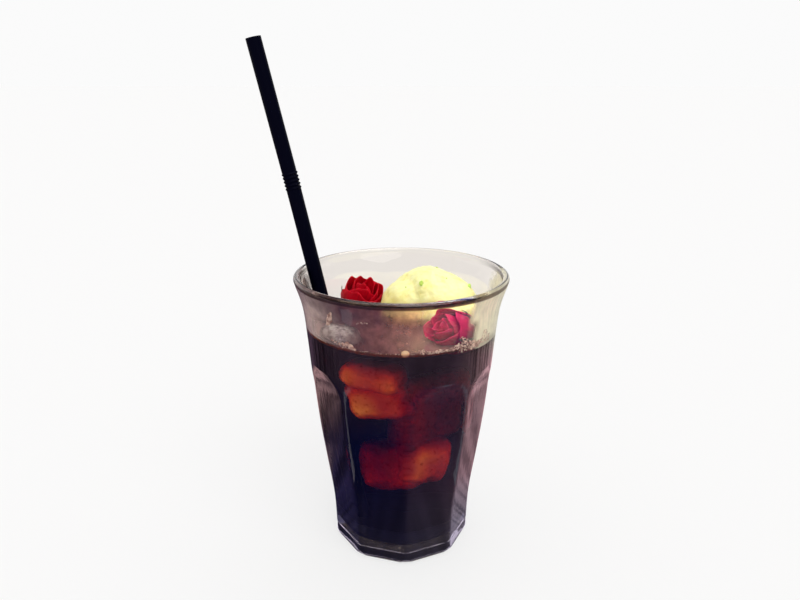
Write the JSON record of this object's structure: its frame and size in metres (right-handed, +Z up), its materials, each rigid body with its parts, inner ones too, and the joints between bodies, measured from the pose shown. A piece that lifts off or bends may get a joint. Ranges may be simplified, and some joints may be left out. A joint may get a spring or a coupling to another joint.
{
  "type": "ice cream float",
  "caption": "Tall panelled glass tumbler of dark iced drink topped with a scoop of vanilla ice cream and red rosebuds, with a black bendy straw leaning on the rim.",
  "frame": {"origin": "middle of the glass's flat foot, on the surface that it stands on", "axes": "+Z up the glass; -Y towards the side that shows the ice cream on the right and the straw on the left; +X to the right from there"},
  "size_m": [0.1032, 0.0878, 0.2108],
  "materials": {
    "tumbler_glass": "clear pressed glass, polished",
    "dark_drink": "clear dark brown liquid",
    "vanilla": "soft frozen cream, slightly rough",
    "rose_petals": "velvety petals",
    "clear_ice": "wet clear ice",
    "black_straw": "smooth, semi-gloss"
  },
  "bodies": {
    "root": {"tumbler": "tumbler_glass", "drink": "dark_drink", "ice_cream": "vanilla", "rose_back": "rose_petals", "rose_front": "rose_petals", "ice_left": "clear_ice", "straw": "black_straw"}
  },
  "joints": []
}
